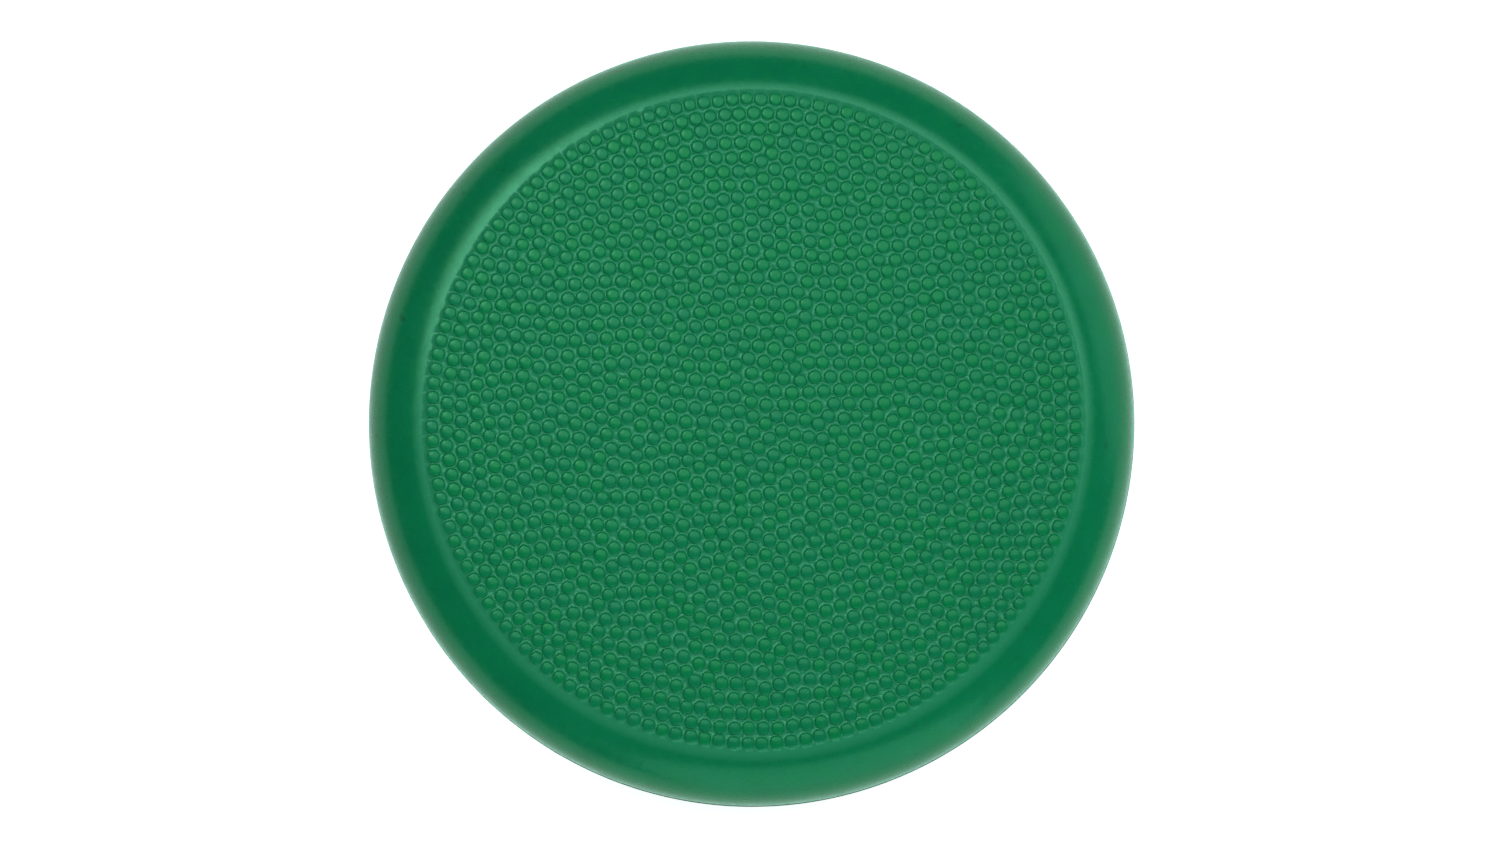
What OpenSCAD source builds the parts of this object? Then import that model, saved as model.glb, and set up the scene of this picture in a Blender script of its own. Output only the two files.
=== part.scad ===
// Inflatable balance pad: a round air cushion that someone stands or sits on to train balance.
// Two moulded half shells of soft vinyl are welded at the equator and hold the air. The top face
// carries a field of low nubs, the underside carries concentric grip ribs, and an inflating valve
// sits low in the side wall.
// The origin is the middle of the underside, on the floor, and +Z points up.

/* [Cushion] */
// Outside diameter of the inflated cushion, over its seam bead
disc_d = 330; // [300:5:400]
// Height of the inflated cushion, from its grip ribs to the tops of its nubs
disc_h = 60; // [54:1:70]
// Thickness of the moulded skin
skin_t = 3; // [2:0.25:3.5]
// Rise of the top face from its rim to its middle
crown = 3; // [1:0.5:5]

/* [Nub field] */
// Diameter of the field of nubs on the top face
field_d = 278; // [230:1:280]
// Height of the nubs above the skin between them
nub_h = 1.1; // [1:0.1:2]

/* [Underside] */
// Radius of the smooth disc in the middle of the underside
hub_r = 14; // [8:1:18]
// Number of grip ribs around the disc
rib_count = 13; // [6:1:14]
// Distance from one grip rib to the next
rib_pitch = 8; // [6:0.5:8]
// Width of a grip rib at its foot
rib_w = 2.6; // [2:0.1:4]
// Height of a grip rib
rib_h = 0.8; // [0.5:0.1:1.2]

/* [Seam] */
// Height of the weld between the two half shells
seam_h = 2.4; // [1.6:0.2:3]
// How far the weld bead stands out of the side wall
seam_proud = 0.5; // [0.2:0.1:0.6]

/* [Valve] */
// Angle of the valve's axis below the horizontal
valve_drop = 26; // [24:1:32]
// Radius of the valve's seat in the side wall
seat_r = 6.6; // [6:0.1:6.8]
// Radius of the socket that the plug pushes into
socket_r = 3; // [2.5:0.1:3.2]
// Radius of the self-sealing core behind the plug
core_r = 3.4; // [3.3:0.1:3.8]
// Length of the self-sealing core
core_len = 7.6; // [6:0.2:9]
// Radius of the plug's head
head_r = 4.2; // [3.8:0.1:4.4]

/* [Hidden] */
$fn = 96;

skin_green = [0.08, 0.47, 0.28];
seam_green = [0.05, 0.36, 0.22];
seat_green = [0.04, 0.28, 0.18];
core_black = [0.08, 0.09, 0.09];
plug_white = [0.86, 0.88, 0.86];

// The side wall is round in section, between the rib tops' plane and the foot of the crown.
wall_r = (disc_h - nub_h - crown - rib_h) / 2;
mid_z = rib_h + wall_r;
rim_r = disc_d / 2 - seam_proud - wall_r;
// The top face is a shallow cap that runs into the side wall without a corner.
cap_rise = wall_r + crown;
cap_r = (pow(rim_r, 2) + pow(cap_rise, 2) - pow(wall_r, 2)) / (2 * crown);
cap_z = mid_z + cap_rise - cap_r;
join_angle = asin(rim_r / (cap_r - wall_r));
seam_angle = asin(seam_h / 2 / wall_r);
inner_seam_angle = asin(seam_h / 2 / (wall_r - skin_t));
arc_steps = 24;
cap_steps = 16;

rib_chamfer = 0.3;
weld_root = 0.6;

flange_proud = 0.3;
seat_depth = 5;
inner_flange_r = 8.5;
inner_flange_t = 1.4;
stem_r = 5.2;
recess_depth = 0.7;
recess_gap = 0.4;
socket_depth = 6.4;
stem_end = 16;
air_hole_r = 2.2;
funnel_r = 1.4;
funnel_depth = 2;
needle_r = 0.4;
head_t = 1.3;
head_round = 0.4;
shank_gap = 0.05;
shank_len = 5.2;
shank_neck = 0.35;
shank_ribs = 2;
grip_len = 5;
grip_w = 1.2;
grip_h = 0.9;

function arc(centre, radius, from, to, steps) =
    [for (i = [0:steps]) let (a = from + (to - from) * i / steps)
        centre + radius * [cos(a), sin(a)]];

function rib(r) = [
    [r - rib_w / 2, rib_h],
    [r - rib_w / 2 + rib_chamfer, 0],
    [r + rib_w / 2 - rib_chamfer, 0],
    [r + rib_w / 2, rib_h]
];

// Puts the valve's pieces where they belong: z = 0 at the wall's outer face, +z outwards.
module at_valve() {
    translate([rim_r + wall_r * cos(valve_drop), 0, mid_z - wall_r * sin(valve_drop)])
        rotate([0, 90 + valve_drop, 0])
            children();
}

module tube_space(radius, from, to) {
    translate([0, 0, from]) cylinder(r = radius, h = to - from);
}

module lower_skin() {
    wall = [rim_r, mid_z];
    outside = concat(
        [[0, 0], [hub_r, 0], [hub_r + rib_chamfer, rib_h]],
        [for (i = [1:rib_count]) each rib(hub_r + i * rib_pitch)],
        arc(wall, wall_r, -90, -seam_angle, arc_steps));
    inside = concat(
        arc(wall, wall_r - skin_t, -inner_seam_angle, -90, arc_steps),
        [[0, rib_h + skin_t]]);
    color(skin_green) difference() {
        rotate_extrude() polygon(concat(outside, inside));
        at_valve() tube_space(seat_r, -seat_depth - 3, 4);
    }
}

module upper_skin() {
    wall = [rim_r, mid_z];
    field_r = field_d / 2;
    field_angle = asin(field_r / (cap_r + nub_h));
    outside = concat(
        arc([0, cap_z], cap_r + nub_h, 90, 90 - field_angle, cap_steps),
        arc(wall, wall_r, acos((field_r - rim_r) / wall_r), seam_angle, arc_steps));
    inside = concat(
        arc(wall, wall_r - skin_t, inner_seam_angle, 90 - join_angle, arc_steps),
        arc([0, cap_z], cap_r - skin_t, 90 - join_angle, 90, cap_steps));
    color(skin_green) rotate_extrude() polygon(concat(outside, inside));
}

module seam_ring() {
    face_r = rim_r + wall_r * cos(seam_angle);
    root_r = rim_r + (wall_r - skin_t) * cos(inner_seam_angle) - weld_root;
    out = disc_d / 2 - face_r;
    bead_r = (pow(seam_h / 2, 2) + pow(out, 2)) / (2 * out);
    half = asin(seam_h / 2 / bead_r);
    color(seam_green) rotate_extrude() polygon(concat(
        [[root_r, mid_z + seam_h / 2], [root_r, mid_z - seam_h / 2]],
        arc([disc_d / 2 - bead_r, mid_z], bead_r, -half, half, 12)));
}

module valve_housing() {
    color(seat_green) at_valve() difference() {
        union() {
            tube_space(seat_r, -seat_depth, flange_proud);
            tube_space(inner_flange_r, -seat_depth - inner_flange_t, -seat_depth);
            tube_space(stem_r, -stem_end, -seat_depth - inner_flange_t);
        }
        tube_space(head_r + recess_gap, flange_proud - recess_depth, flange_proud + 1);
        tube_space(socket_r, -socket_depth, flange_proud);
        tube_space(core_r, -socket_depth - core_len, -socket_depth);
        tube_space(air_hole_r, -stem_end - 1, -socket_depth);
    }
}

module valve_core() {
    color(core_black) at_valve() difference() {
        tube_space(core_r, -socket_depth - core_len, -socket_depth);
        translate([0, 0, -socket_depth - funnel_depth])
            cylinder(r1 = needle_r, r2 = funnel_r, h = funnel_depth);
        tube_space(needle_r, -stem_end, -socket_depth);
    }
}

module valve_plug() {
    head_z = flange_proud - recess_depth;
    shank_r = socket_r - shank_gap;
    rib_step = shank_len / (2 * shank_ribs + 1);
    color(plug_white) at_valve() union() {
        rotate_extrude() polygon([
            [0, head_z], [head_r, head_z], [head_r, head_z + head_t - head_round],
            [head_r - head_round, head_z + head_t], [0, head_z + head_t]
        ]);
        tube_space(shank_r - shank_neck, head_z - shank_len, head_z);
        for (i = [1:shank_ribs])
            tube_space(shank_r, head_z - 2 * i * rib_step, head_z - (2 * i - 1) * rib_step);
        translate([-grip_w / 2, -grip_len / 2, head_z + head_t / 2])
            cube([grip_w, grip_len, head_t / 2 + grip_h]);
    }
}

lower_skin();
upper_skin();
seam_ring();
valve_housing();
valve_core();
valve_plug();
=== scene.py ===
"""The looks of an inflatable balance pad: a green vinyl air cushion with a nubbed top face."""

import math

import bmesh
import bpy
import numpy as np
from mathutils import Matrix, Vector
from mathutils.geometry import delaunay_2d_cdt


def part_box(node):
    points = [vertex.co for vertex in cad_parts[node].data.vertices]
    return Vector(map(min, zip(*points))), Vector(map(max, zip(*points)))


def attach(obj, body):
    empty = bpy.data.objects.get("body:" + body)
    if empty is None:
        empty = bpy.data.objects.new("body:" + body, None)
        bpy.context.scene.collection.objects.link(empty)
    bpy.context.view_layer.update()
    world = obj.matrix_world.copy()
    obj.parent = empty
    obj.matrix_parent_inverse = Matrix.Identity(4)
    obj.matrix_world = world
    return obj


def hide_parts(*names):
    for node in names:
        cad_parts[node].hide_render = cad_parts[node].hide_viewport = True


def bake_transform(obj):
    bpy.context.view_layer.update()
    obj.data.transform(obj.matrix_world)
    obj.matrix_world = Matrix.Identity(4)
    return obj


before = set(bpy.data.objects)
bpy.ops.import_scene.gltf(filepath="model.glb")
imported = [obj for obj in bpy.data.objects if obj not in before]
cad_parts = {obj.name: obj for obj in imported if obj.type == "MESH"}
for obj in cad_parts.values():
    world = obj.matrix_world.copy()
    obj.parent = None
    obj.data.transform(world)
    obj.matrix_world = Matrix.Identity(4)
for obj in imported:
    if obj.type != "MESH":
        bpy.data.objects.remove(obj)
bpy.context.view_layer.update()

MM = 0.001
TURN = 2 * math.pi

# Sizes that the frame gives
seam_low, seam_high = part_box("seam_ring")
lower_low, lower_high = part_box("lower_skin")
upper_low, upper_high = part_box("upper_skin")
DISC_R = seam_high.x
MID_Z = (seam_low.z + seam_high.z) / 2
SEAM_HALF = (seam_high.z - seam_low.z) / 2

# Sizes that repeat the part's own
RIB_H = 0.8 * MM
RIB_W = 2.6 * MM
RIB_CHAMFER = 0.3 * MM
RIB_PITCH = 8 * MM
RIB_COUNT = 13
HUB_R = 14 * MM
CROWN = 3 * MM
NUB_H = 1.1 * MM
SKIN_T = 3 * MM
FIELD_R = 139 * MM
VALVE_DROP = math.radians(26)
SEAT_R = 6.6 * MM
VALVE_HOLE_R = SEAT_R - 0.6 * MM
VALVE_HOLE_ENDS = (-9 * MM, 4 * MM)

# The side wall is round in section, and the top face is a shallow cap that runs into it.
WALL_R = MID_Z - RIB_H
RIM_R = upper_high.x - math.sqrt(WALL_R**2 - SEAM_HALF**2)
CAP_RISE = WALL_R + CROWN
CAP_R = (RIM_R**2 + CAP_RISE**2 - WALL_R**2) / (2 * CROWN)
CAP_Z = MID_Z + CAP_RISE - CAP_R
JOIN_ANGLE = math.asin(RIM_R / (CAP_R - WALL_R))
SEGMENTS = 240

# The nubs: a flat-topped round form, with a fillet at its foot
NUB_R = 2.83 * MM
NUB_CURVE = 20  # the power of a nub's section: more makes its top flatter and its side steeper
NUB_FILLET = 0.1 * MM
NUB_RINGS = ((0, 1), (0.78, 8), (0.9, 12), (0.97, 12), (1.05, 12))  # (share of its radius, points)
RADIUS_SPREAD = 0.022
HEIGHT_SPREAD = 0.05
SQUARENESS_SPREAD = 0.012
EDGE_SQUARENESS = 0.05  # the outermost ring's nubs are a little square

# Where two nubs meet, in shares of a nub's radius
CREASE_GAP = 0.03
CREASE_SLACK = 0.04
CREASE_LEAST = 0.8

# How the nubs are laid out
NUB_PITCH = 6.12 * MM
RING_PITCH = 6.22 * MM
ORDERLY_RINGS = 4
SCATTER = 0.35 * NUB_PITCH
PUSH_TURNS = 60
PUSH_NEAREST = 14
PUSH_REACH = 1.25 * NUB_PITCH
PUSH_STEP = 0.22
JITTER = 0.17 * MM

# The smooth ledge around the field and the ground between the nubs are painted a lighter milky green:
# painted sheen for the overhead light that these flat faces catch.
PATCH_R = 140.6 * MM  # where the nubbed mesh meets the turned wall
LEDGE_R = 143 * MM
LEDGE_FADE = 2 * MM
# How much of the painted sheen the ground between the nubs gets, against the ledge's full share
FLOOR_SHEEN_PAINT = 0.95

# The weld bead is trimmed closest on this side.
TRIMMED_SIDE = math.radians(140)


def smoothstep(t):
    t = np.clip(t, 0, 1)
    return t * t * (3 - 2 * t)


def skin_top(r):
    """Height of the top face's skin, without its nubs, at a distance r from the axis."""
    cap = CAP_Z + np.sqrt(CAP_R**2 - r**2)
    wall = MID_Z + np.sqrt(np.clip(WALL_R**2 - (r - RIM_R) ** 2, 0, None))
    return np.where(r < RIM_R + WALL_R * math.sin(JOIN_ANGLE), cap, wall)


# ---------------------------------------------------------------- mesh helpers


def new_piece(name, verts, faces, marks=None):
    """A smooth piece from its vertices and faces. Marks are named values, one for each vertex."""
    mesh = bpy.data.meshes.new(name)
    mesh.from_pydata([tuple(v) for v in verts], [], [tuple(f) for f in faces])
    for mark, values in (marks or {}).items():
        mesh.attributes.new(mark, "FLOAT", "POINT").data.foreach_set("value", values)
    bm = bmesh.new()
    bm.from_mesh(mesh)
    bmesh.ops.remove_doubles(bm, verts=bm.verts, dist=1e-6)
    bmesh.ops.recalc_face_normals(bm, faces=bm.faces)
    bm.to_mesh(mesh)
    bm.free()
    mesh.shade_smooth()
    piece = bpy.data.objects.new(name, mesh)
    bpy.context.scene.collection.objects.link(piece)
    return piece


def revolve(profile, segments=SEGMENTS, closed=True):
    """Vertices and faces of a (r, z) profile turned about Z. A point on the axis makes a fan."""
    verts, faces, rings = [], [], []
    for r, z in profile:
        if r < 1e-7:
            rings.append([len(verts)])
            verts.append((0, 0, z))
            continue
        rings.append(list(range(len(verts), len(verts) + segments)))
        angles = TURN * np.arange(segments) / segments
        verts += [(r * math.cos(a), r * math.sin(a), z) for a in angles]
    pairs = list(zip(rings, rings[1:]))
    if closed and len(rings[0]) > 1 and len(rings[-1]) > 1:
        pairs.append((rings[-1], rings[0]))
    for low, high in pairs:
        for i in range(segments):
            j = (i + 1) % segments
            if len(low) == 1:
                faces.append((low[0], high[i], high[j]))
            elif len(high) == 1:
                faces.append((low[i], low[j], high[0]))
            else:
                faces.append((low[i], low[j], high[j], high[i]))
    return verts, faces


def arc(centre, radius, start, end, steps):
    angles = np.radians(np.linspace(start, end, steps + 1))
    return [(centre[0] + radius * math.cos(a), centre[1] + radius * math.sin(a)) for a in angles]


def rounded(points, radius, steps=3):
    """A (r, z) profile with the corners that carry a true third value rounded off."""
    out = []
    for k, (r, z, *soft) in enumerate(points):
        if not soft or not soft[0] or k in (0, len(points) - 1):
            out.append((r, z))
            continue
        here = Vector((r, z))
        before = Vector(points[k - 1][:2]) - here
        after = Vector(points[k + 1][:2]) - here
        reach = min(radius, before.length * 0.45, after.length * 0.45)
        a, b = here + before.normalized() * reach, here + after.normalized() * reach
        for s in range(steps + 1):
            t = s / steps
            out.append(tuple((1 - t) ** 2 * a + 2 * t * (1 - t) * here + t * t * b))
    return out


def cut(piece, cutter):
    """Takes cutter's shape out of piece, and removes cutter."""
    tool = piece.modifiers.new("cut", "BOOLEAN")
    tool.operation = "DIFFERENCE"
    tool.object = cutter
    graph = bpy.context.evaluated_depsgraph_get()
    mesh = bpy.data.meshes.new_from_object(piece.evaluated_get(graph), depsgraph=graph)
    piece.modifiers.clear()
    piece.data = mesh
    piece.data.set_sharp_from_angle(angle=math.radians(50))
    bpy.data.objects.remove(cutter)
    return piece


# ---------------------------------------------------------------- the nub field


def neighbours(points, count):
    """The indices of each point's nearest others."""
    away = points[:, None] - points[None]
    gap = np.hypot(away[..., 0], away[..., 1])
    np.fill_diagonal(gap, np.inf)
    return np.argpartition(gap, count, axis=1)[:, :count]


def nub_layout(rng):
    """Nub centres: orderly rings along the edge of the field, looser towards the middle."""
    points = []
    radius = edge = FIELD_R - NUB_R
    while radius > RING_PITCH * 0.4:
        count = round(TURN * radius / NUB_PITCH)
        angles = rng.random() * TURN + TURN * np.arange(count) / count
        points.append(np.stack([radius * np.cos(angles), radius * np.sin(angles)], 1))
        radius -= RING_PITCH
    points = np.concatenate(points + [np.zeros((1, 2))])
    depth = (edge - np.hypot(*points.T)) / RING_PITCH
    loose = smoothstep((depth - 0.6) / ORDERLY_RINGS)[:, None]
    points += loose * rng.normal(0, SCATTER, points.shape)
    for turn in range(PUSH_TURNS):
        if turn % 6 == 0:
            near = neighbours(points, PUSH_NEAREST)
        away = points[:, None] - points[near]
        gap = np.maximum(np.hypot(away[..., 0], away[..., 1]), 0.1 * MM)[..., None]
        push = np.clip(1 - gap / PUSH_REACH, 0, None) * NUB_PITCH / gap
        points += np.clip(loose, 0.03, 1) * PUSH_STEP * (away * push).sum(1)
        reach = np.hypot(*points.T)[:, None]
        points *= np.minimum(1, edge / np.maximum(reach, edge * 0.1))
    return points + rng.normal(0, JITTER, points.shape)


def nub_share(offsets, radii, squareness, out):
    """How far out on a nub an offset from its centre lies: 0 in the middle, 1 at the foot."""
    angles = np.arctan2(offsets[..., 1], offsets[..., 0]) - out
    return np.hypot(offsets[..., 0], offsets[..., 1]) / (radii * (1 - squareness * np.cos(4 * angles)))


def nub_form(share):
    """A nub's height that far out from its middle, as a share of its full height."""
    return 1 - share**NUB_CURVE


def nub_points(rng):
    """Points over the field: rings on each nub, drawn in to the crease where two nubs meet.

    Returns the points' places, their heights above the skin, the tints of their nubs, and the
    edges that run along the rings."""
    centres = nub_layout(rng)
    near = neighbours(centres, 8)
    reach = np.hypot(*centres.T)
    radii = NUB_R * (1 + rng.normal(0, RADIUS_SPREAD, len(centres)))
    heights = NUB_H * (1 - np.abs(rng.normal(0, HEIGHT_SPREAD, len(centres))))
    squareness = np.where(reach > FIELD_R - 1.6 * NUB_R, EDGE_SQUARENESS, 0.0)
    squareness += rng.normal(0, SQUARENESS_SPREAD, len(centres))
    out = np.arctan2(centres[:, 1], centres[:, 0])
    spins = rng.random(len(centres)) * TURN
    own = rng.random(len(centres))

    def rivals(spots):
        """How far out on each neighbouring nub the spots lie."""
        offsets = spots[:, :, None] - centres[near][:, None]
        return nub_share(offsets, radii[near][:, None], squareness[near][:, None], out[near][:, None])

    places, lifts, tints, kept, edges = [], [], [], [], []
    start = 0
    for share, count in NUB_RINGS:
        angles = spins[:, None] + TURN * np.arange(count) / count
        reach = share * radii[:, None] * (1 - squareness[:, None] * np.cos(4 * (angles - out[:, None])))
        offsets = reach[..., None] * np.stack([np.cos(angles), np.sin(angles)], -1)
        spots = centres[:, None] + offsets
        nearest = rivals(spots).min(-1)
        free = nearest > share + CREASE_GAP
        mine = np.full(angles.shape, float(share))
        if share > 1:
            mine = np.minimum(share, (share + nearest) / 2)
            spots = centres[:, None] + offsets * (mine / share)[..., None]
        rival = rivals(spots)
        keep = free | ((share > 1) & (rival.min(-1) > mine - CREASE_SLACK) & (mine > CREASE_LEAST))
        lift = heights[:, None] * nub_form(mine)
        others = (heights[near][:, None] * nub_form(rival)).max(-1)
        number = start + np.arange(free.size).reshape(free.shape)
        start += free.size
        if count > 8:
            joined = free & np.roll(free, -1, 1)
            edges.append(np.stack([number, np.roll(number, -1, 1)], -1)[joined])
        places.append(spots.reshape(-1, 2))
        lifts.append(np.maximum(lift, others).ravel())
        tints.append(np.broadcast_to(own[:, None], lift.shape).ravel())
        kept.append(keep.ravel())
    places, lifts, tints, kept, edges = (
        np.concatenate(part) for part in (places, lifts, tints, kept, edges))
    lifts = (lifts + np.sqrt(lifts**2 + NUB_FILLET**2)) / 2
    room = PATCH_R - 0.3 * MM - np.hypot(*places.T)
    lifts *= smoothstep(room / (0.8 * MM))
    kept &= room > 0
    edges = (np.cumsum(kept) - 1)[edges[kept[edges].all(1)]]
    return places[kept], lifts[kept], tints[kept], edges


# ---------------------------------------------------------------- the skins


def make_upper_skin():
    rng = np.random.default_rng(7)
    places, lifts, tints, edges = nub_points(rng)
    angles = TURN * np.arange(SEGMENTS) / SEGMENTS
    border = PATCH_R * np.stack([np.cos(angles), np.sin(angles)], 1)
    flat = np.concatenate([places, border])
    lifts = np.concatenate([lifts, np.zeros(SEGMENTS)])
    tints = np.concatenate([tints, np.zeros(SEGMENTS)])
    found = delaunay_2d_cdt([Vector(p) for p in flat.tolist()], edges.tolist(), [], 0, 1e-9)
    spots, triangles, sources = found[0], found[2], found[3]
    verts, nubs, own = [], [], []
    for spot, source in zip(spots, sources):
        source = source[0] if source else int(np.hypot(*(flat - spot).T).argmin())
        base = float(skin_top(np.array(spot.length)))
        verts.append((spot.x, spot.y, base + lifts[source]))
        nubs.append(lifts[source] / NUB_H)
        own.append(tints[source])
    faces = [tuple(t) for t in triangles]

    wall = (RIM_R, MID_Z)
    patch_angle = math.degrees(math.acos((PATCH_R - RIM_R) / WALL_R))
    seam_angle = math.degrees(math.asin(SEAM_HALF / WALL_R))
    inner_r = WALL_R - SKIN_T
    inner_seam = math.degrees(math.asin(SEAM_HALF / inner_r))
    join = math.degrees(JOIN_ANGLE)
    profile = arc(wall, WALL_R, patch_angle, seam_angle, 18)
    profile += arc(wall, inner_r, inner_seam, 90 - join, 8)
    profile += arc((0, CAP_Z), CAP_R - SKIN_T, 90 - join, 90, 4)[1:]
    profile[-1] = (0, profile[-1][1])
    more, quads = revolve(profile, closed=False)
    start = len(verts)
    verts += more
    faces += [tuple(start + i for i in quad) for quad in quads]
    reach = np.hypot(*np.array(verts).T[:2])
    nubs = np.concatenate([smoothstep(np.array(nubs) / 0.3), np.zeros(len(more))])
    # Painted sheen: the ledge and the ground between the nubs are marked to be coloured lighter, for
    # the light their flat faces catch
    ledge = 1 - smoothstep((reach - LEDGE_R + LEDGE_FADE) / (2 * LEDGE_FADE))
    painted_sheen = ledge * (1 - nubs) * np.where(reach < FIELD_R, FLOOR_SHEEN_PAINT, 1)
    marks = {"nubs": nubs, "painted_sheen": painted_sheen, "tint": own + [0.5] * len(more)}
    return new_piece("upper_vinyl", verts, faces, marks)


def make_lower_skin():
    profile = [(0, 0), (HUB_R, 0), (HUB_R + RIB_CHAMFER, RIB_H)]
    for k in range(1, RIB_COUNT + 1):
        r = HUB_R + k * RIB_PITCH
        profile += [
            (r - RIB_W / 2, RIB_H),
            (r - RIB_W / 2 + RIB_CHAMFER, 0),
            (r + RIB_W / 2 - RIB_CHAMFER, 0),
            (r + RIB_W / 2, RIB_H),
        ]
    profile = rounded([(r, z, 0 < k) for k, (r, z) in enumerate(profile)], 0.25 * MM, 2)
    wall = (RIM_R, MID_Z)
    inner_r = WALL_R - SKIN_T
    seam_angle = math.degrees(math.asin(SEAM_HALF / WALL_R))
    inner_seam = math.degrees(math.asin(SEAM_HALF / inner_r))
    profile += arc(wall, WALL_R, -90, -seam_angle, 24)
    profile += arc(wall, inner_r, -inner_seam, -90, 10)
    profile += [(0, RIB_H + SKIN_T)]
    piece = new_piece("lower_vinyl", *revolve(profile, closed=False))
    inside, outside = VALVE_HOLE_ENDS
    profile = [(0, inside), (VALVE_HOLE_R, inside), (VALVE_HOLE_R, outside), (0, outside)]
    hole = new_piece("hole", *revolve(profile, 48))
    hole.matrix_world = VALVE_PLACE
    return cut(piece, hole)


def make_seam():
    """The weld bead, uneven as a trimmed weld is: it stands proudest on one side of the pad."""
    face_r = RIM_R + math.sqrt(WALL_R**2 - SEAM_HALF**2)
    root_r = face_r - SKIN_T - 0.6 * MM
    out = DISC_R - face_r
    bead_r = (SEAM_HALF**2 + out**2) / (2 * out)
    half = math.degrees(math.asin(SEAM_HALF / bead_r))
    profile = [(root_r, MID_Z + SEAM_HALF), (root_r, MID_Z - SEAM_HALF)]
    profile += arc((DISC_R - bead_r, MID_Z), bead_r, -half, half, 8)
    verts, faces = revolve(profile, 360)
    rng = np.random.default_rng(11)
    waves = [(rng.integers(20, 90), rng.random() * TURN, rng.random()) for _ in range(6)]
    shaped = []
    for x, y, z in verts:
        r, a = math.hypot(x, y), math.atan2(y, x)
        ripple = sum(s * math.sin(n * a + p) for n, p, s in waves) / 6
        share = max(0.0, (r - face_r) / out)
        trim = 0.7 * smoothstep((1 + math.cos(a - TRIMMED_SIDE)) / 2)
        r -= share * out * (0.12 * (1 + ripple) + trim)
        shaped.append((r * math.cos(a), r * math.sin(a), z))
    return new_piece("weld_bead", shaped, faces)


# ---------------------------------------------------------------- the valve


def valve_place():
    """From the valve's own frame, z = 0 at the wall's outer face and +z outwards, to the row frame."""
    spot = Matrix.Translation((
        RIM_R + WALL_R * math.cos(VALVE_DROP), 0, MID_Z - WALL_R * math.sin(VALVE_DROP)))
    return spot @ Matrix.Rotation(math.pi / 2 + VALVE_DROP, 4, "Y")


VALVE_PLACE = valve_place()


def lathe(name, points, corner, segments=64):
    """A closed turned piece of the valve. Points are (r, z, round this corner?) in millimetres."""
    profile = rounded([(r * MM, z * MM, *soft) for r, z, *soft in points], corner * MM)
    piece = new_piece(name, *revolve(profile, segments))
    piece.data.transform(VALVE_PLACE)
    return piece


def make_housing():
    return lathe("valve_seat", [
        (4.6, -0.4, 1), (4.6, 0.3, 1), (6.6, 0.3, 1), (6.6, -5.0), (8.5, -5.0, 1),
        (8.5, -6.4, 1), (5.2, -6.4, 1), (5.2, -16, 1), (2.2, -16, 1), (2.2, -14),
        (3.4, -14), (3.4, -6.4), (3.0, -6.4), (3.0, -0.4, 1),
    ], 0.3)


def make_core():
    return lathe("needle_core", [
        (0.4, -14.0), (0.4, -8.4, 1), (1.4, -6.4, 1), (3.4, -6.4), (3.4, -14.0),
    ], 0.25, 48)


def make_plug():
    piece = lathe("pull_plug", [
        (0, 0.9), (4.2, 0.9, 1), (4.2, -0.4, 1), (2.6, -0.4, 1), (2.6, -1.4, 1),
        (2.95, -1.6, 1), (2.95, -2.3, 1), (2.6, -2.5, 1), (2.6, -3.5, 1),
        (2.95, -3.7, 1), (2.95, -4.4, 1), (2.6, -4.6, 1), (2.6, -5.3, 1), (2.3, -5.6, 1), (0, -5.6),
    ], 0.35)
    bm = bmesh.new()
    bm.from_mesh(piece.data)
    made = bmesh.ops.create_cube(bm, size=1)["verts"]
    grip = Matrix.Diagonal((1.2 * MM, 5 * MM, 1.3 * MM, 1))
    shape = Matrix.Translation((0, 0, 1.15 * MM)) @ grip
    bmesh.ops.transform(bm, matrix=VALVE_PLACE @ shape, verts=made)
    edges = list({e for v in made for e in v.link_edges})
    bmesh.ops.bevel(bm, geom=edges, offset=0.35 * MM, segments=3, affect="EDGES", profile=0.5)
    bm.to_mesh(piece.data)
    bm.free()
    piece.data.shade_smooth()
    return piece


# ---------------------------------------------------------------- materials

DEEP_GREEN = (0.0029, 0.226, 0.086)
PALE_GREEN = (0.0043, 0.257, 0.101)
WARM_GREEN = (0.0034, 0.255, 0.080)
NUB_GREEN = (0.0036, 0.276, 0.087)
NUB_BLUE = (0.0058, 0.255, 0.103)
# A lighter milky green, painted sheen for the light that flat faces catch
PAINTED_SHEEN_GREEN = (0.028, 0.332, 0.152)
SMUDGE = (0.010, 0.10, 0.05)
# The weld bead's green is darkened well below the skin's: painted shade for the shadow it lies in under
# the rim
SEAM_SHADE_GREEN = (0.006, 0.07, 0.038)
SEAT_GREEN = (0.004, 0.08, 0.04)
CORE_BLACK = (0.02, 0.02, 0.02)
PLUG_WHITE = (0.72, 0.76, 0.72)
SHEEN_GREEN = (0.12, 1.0, 0.70)


def nodes_of(name):
    material = bpy.data.materials.new(name)
    material.use_nodes = True
    tree = material.node_tree
    return material, tree, tree.nodes["Principled BSDF"]


def noise(tree, scale, detail=3.0, rough=0.5):
    place = tree.nodes.new("ShaderNodeTexCoord")
    node = tree.nodes.new("ShaderNodeTexNoise")
    node.inputs["Scale"].default_value = scale
    node.inputs["Detail"].default_value = detail
    node.inputs["Roughness"].default_value = rough
    tree.links.new(place.outputs["Object"], node.inputs["Vector"])
    return node.outputs["Fac"]


def spread(tree, value, low, high, to_low, to_high):
    node = tree.nodes.new("ShaderNodeMapRange")
    node.inputs["From Min"].default_value = low
    node.inputs["From Max"].default_value = high
    node.inputs["To Min"].default_value = to_low
    node.inputs["To Max"].default_value = to_high
    tree.links.new(value, node.inputs["Value"])
    return node.outputs["Result"]


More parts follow.
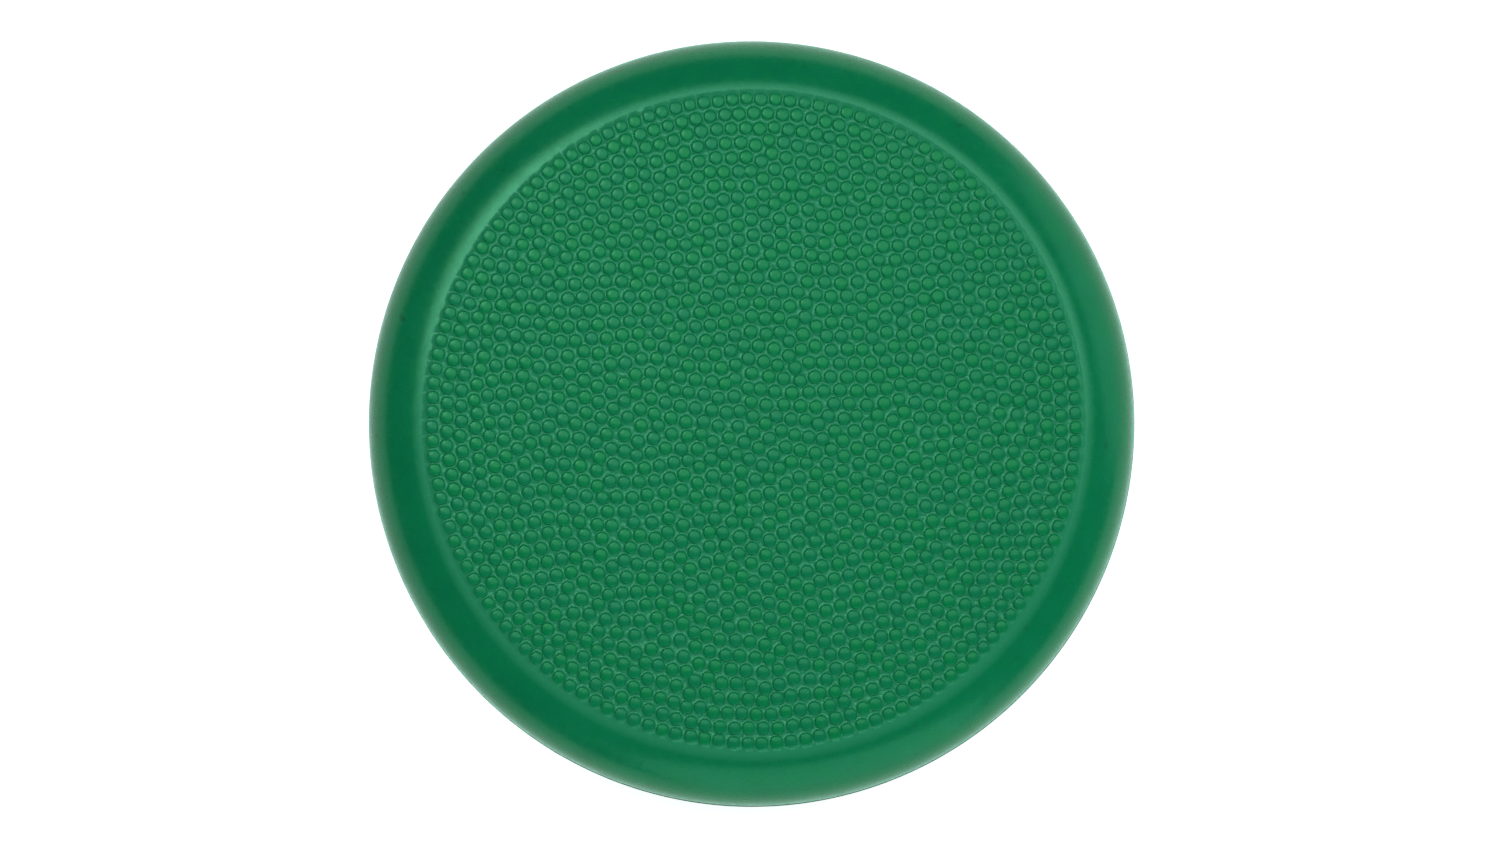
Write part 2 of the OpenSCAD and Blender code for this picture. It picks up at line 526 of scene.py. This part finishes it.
def total(tree, first, second):
    node = tree.nodes.new("ShaderNodeMath")
    node.operation = "ADD"
    tree.links.new(first, node.inputs[0])
    tree.links.new(second, node.inputs[1])
    return node.outputs["Value"]


def attribute(tree, name):
    node = tree.nodes.new("ShaderNodeAttribute")
    node.attribute_name = name
    return node.outputs["Fac"]


def blend_colours(tree, share, first, second):
    node = tree.nodes.new("ShaderNodeMix")
    node.data_type = "RGBA"
    for socket, colour in (("A", first), ("B", second)):
        target = [s for s in node.inputs if s.name == socket and s.type == "RGBA"][0]
        if isinstance(colour, tuple):
            target.default_value = (*colour, 1)
        else:
            tree.links.new(colour, target)
    factor = [s for s in node.inputs if s.name == "Factor" and s.type == "VALUE"][0]
    tree.links.new(share, factor)
    return [s for s in node.outputs if s.type == "RGBA"][0]


def add_bump(tree, shader, height, strength, distance):
    node = tree.nodes.new("ShaderNodeBump")
    node.inputs["Strength"].default_value = strength
    node.inputs["Distance"].default_value = distance
    tree.links.new(height, node.inputs["Height"])
    tree.links.new(node.outputs["Normal"], shader.inputs["Normal"])


def vinyl(name, relief=False):
    """Soft pearly vinyl: a slightly mottled green, a satin skin and a fine moulded grain."""
    material, tree, shader = nodes_of(name)
    mottle = spread(tree, noise(tree, 45, 4, 0.6), 0.3, 0.7, 0.0, 1.0)
    colour = blend_colours(tree, mottle, DEEP_GREEN, PALE_GREEN)
    tint = spread(tree, noise(tree, 130, 1, 0.4), 0.45, 0.75, 0.0, 0.5)
    colour = blend_colours(tree, tint, colour, WARM_GREEN)
    smudges = spread(tree, noise(tree, 110, 4, 0.55), 0.67, 0.74, 0.0, 0.5)
    colour = blend_colours(tree, smudges, colour, SMUDGE)
    if relief:
        field = blend_colours(tree, attribute(tree, "tint"), NUB_BLUE, NUB_GREEN)
        colour = blend_colours(tree, attribute(tree, "nubs"), colour, field)
        # Painted sheen: the ledge and the ground between the nubs are lightened to a milky green
        colour = blend_colours(tree, attribute(tree, "painted_sheen"), colour, PAINTED_SHEEN_GREEN)
    tree.links.new(colour, shader.inputs["Base Color"])
    tree.links.new(spread(tree, noise(tree, 260, 3), 0.3, 0.7, 0.19, 0.32), shader.inputs["Roughness"])
    pimples = spread(tree, noise(tree, 620, 1, 0.5), 0.60, 0.72, 0.0, 0.4)
    add_bump(tree, shader, total(tree, pimples, noise(tree, 1300, 3, 0.6)), 0.25, 0.0001)
    shader.inputs["Metallic"].default_value = 0.1
    shader.inputs["IOR"].default_value = 1.4
    shader.inputs["Specular IOR Level"].default_value = 0.18
    shader.inputs["Coat Weight"].default_value = 0.03
    shader.inputs["Coat Roughness"].default_value = 0.15
    shader.inputs["Sheen Weight"].default_value = 1.0
    shader.inputs["Sheen Roughness"].default_value = 0.22
    shader.inputs["Sheen Tint"].default_value = (*SHEEN_GREEN, 1)
    return material


def plain(name, base, roughness, shine=0.5):
    material, tree, shader = nodes_of(name)
    shader.inputs["Specular IOR Level"].default_value = shine
    shade = tuple(c * 0.8 for c in base)
    mottle = spread(tree, noise(tree, 300, 3), 0.3, 0.7, 0.0, 1.0)
    tree.links.new(blend_colours(tree, mottle, shade, base), shader.inputs["Base Color"])
    tree.links.new(
        spread(tree, noise(tree, 700, 2), 0.3, 0.7, roughness - 0.05, roughness + 0.05),
        shader.inputs["Roughness"])
    add_bump(tree, shader, noise(tree, 1500, 2), 0.15, 0.0001)
    return material


def dress(piece, material, slot, *nodes):
    piece.data.materials.clear()
    piece.data.materials.append(material)
    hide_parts(*nodes)
    return piece


# ---------------------------------------------------------------- camera, light and floor

DAYLIGHT = (0.72, 1.0, 1.0)


def aim(thing, target, up=(0, 1, 0)):
    """Turns a camera or a lamp to look at a point, with its top towards up."""
    back = (thing.location - Vector(target)).normalized()
    right = Vector(up).cross(back).normalized()
    thing.rotation_euler = Matrix((right, back.cross(right), back)).transposed().to_euler()


def make_camera():
    """Straight above, a little off the pad's axis, with the pad filling half of the width."""
    distance, lean, bearing = 1.5, math.radians(2.86), math.radians(-129.9)
    camera = bpy.data.objects.new("camera", bpy.data.cameras.new("camera"))
    target = Vector((-0.0011, 0.0001, MID_Z))
    camera.location = target + distance * Vector((
        math.sin(lean) * math.cos(bearing), math.sin(lean) * math.sin(bearing), math.cos(lean)))
    aim(camera, target)
    camera.data.sensor_width = 36
    camera.data.lens = 83.68
    bpy.context.scene.collection.objects.link(camera)
    bpy.context.scene.camera = camera


def softbox(name, lean, bearing, spans, glow, tint=(1, 1, 1)):
    """An oval softbox 2.2 m away, leaning towards a bearing. Spans are its half angles, in degrees."""
    distance = 2.2
    lamp = bpy.data.lights.new(name, "AREA")
    lamp.shape = "ELLIPSE"
    lamp.size, lamp.size_y = (2 * distance * math.tan(math.radians(span)) for span in spans)
    lamp.energy = glow * math.pi * math.pi * lamp.size * lamp.size_y / 4
    lamp.color = tint
    light = bpy.data.objects.new(name, lamp)
    lean, bearing = math.radians(lean), math.radians(bearing)
    light.location = distance * Vector((
        math.sin(lean) * math.cos(bearing), math.sin(lean) * math.sin(bearing), math.cos(lean)))
    aim(light, (0, 0, 0))
    bpy.context.scene.collection.objects.link(light)


def make_light():
    softbox("overhead", 14, 78, (30, 19), 2.05)
    softbox("key", 32, 138, (13, 13), 3.5)
    softbox("window", 74, -78, (30, 26), 1.7, DAYLIGHT)
    softbox("fill", 80, 20, (28, 24), 1.35, DAYLIGHT)
    world = bpy.data.worlds.new("studio")
    world.use_nodes = True
    tree = world.node_tree
    room = tree.nodes["Background"]
    room.inputs["Color"].default_value = (1, 1, 1, 1)
    room.inputs["Strength"].default_value = 0.03
    backdrop = tree.nodes.new("ShaderNodeBackground")
    backdrop.inputs["Color"].default_value = (1, 1, 1, 1)
    seen = tree.nodes.new("ShaderNodeLightPath")
    mix = tree.nodes.new("ShaderNodeMixShader")
    tree.links.new(seen.outputs["Is Camera Ray"], mix.inputs["Fac"])
    tree.links.new(room.outputs["Background"], mix.inputs[1])
    tree.links.new(backdrop.outputs["Background"], mix.inputs[2])
    tree.links.new(mix.outputs["Shader"], tree.nodes["World Output"].inputs["Surface"])
    bpy.context.scene.world = world


def make_floor():
    floor = new_piece("floor", *revolve([(0, 0), (0.5, 0), (2.0, 0)], 96, closed=False))
    floor.location.z = -0.0002
    material, tree, shader = nodes_of("floor")
    shader.inputs["Base Color"].default_value = (0.9, 0.9, 0.9, 1)
    shader.inputs["Roughness"].default_value = 0.9
    shader.inputs["Specular IOR Level"].default_value = 0.1
    shader.inputs["Emission Color"].default_value = (1, 1, 1, 1)
    seen = tree.nodes.new("ShaderNodeLightPath")
    direct = spread(tree, seen.outputs["Is Camera Ray"], 0, 1, 0.2, 0.8)
    mirrored = spread(tree, seen.outputs["Is Glossy Ray"], 0, 1, 0.0, 0.45)
    tree.links.new(total(tree, direct, mirrored), shader.inputs["Emission Strength"])
    floor.data.materials.append(material)


# ---------------------------------------------------------------- the pad

make_camera()
make_light()
make_floor()
bpy.context.scene.view_settings.view_transform = "Standard"

upper = make_upper_skin()
dress(upper, vinyl("nubbed_vinyl", relief=True), "upper_skin", "upper_skin")
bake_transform(upper)

lower = make_lower_skin()
dress(lower, vinyl("ribbed_vinyl"), "lower_skin", "lower_skin")
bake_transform(lower)

seam = make_seam()
# The weld's dark green is painted shade
dress(seam, plain("weld", SEAM_SHADE_GREEN, 0.5, 0.15), "seam", "seam_ring")
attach(seam, "rim")

housing = make_housing()
dress(housing, plain("valve_seat", SEAT_GREEN, 0.4), "valve_seat", "valve_housing")
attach(housing, "base")

core = make_core()
dress(core, plain("valve_core", CORE_BLACK, 0.6), "valve_core", "valve_core")
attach(core, "base")

plug = make_plug()
dress(plug, plain("valve_plug", PLUG_WHITE, 0.35), "valve_plug", "valve_plug")
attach(plug, "plug")
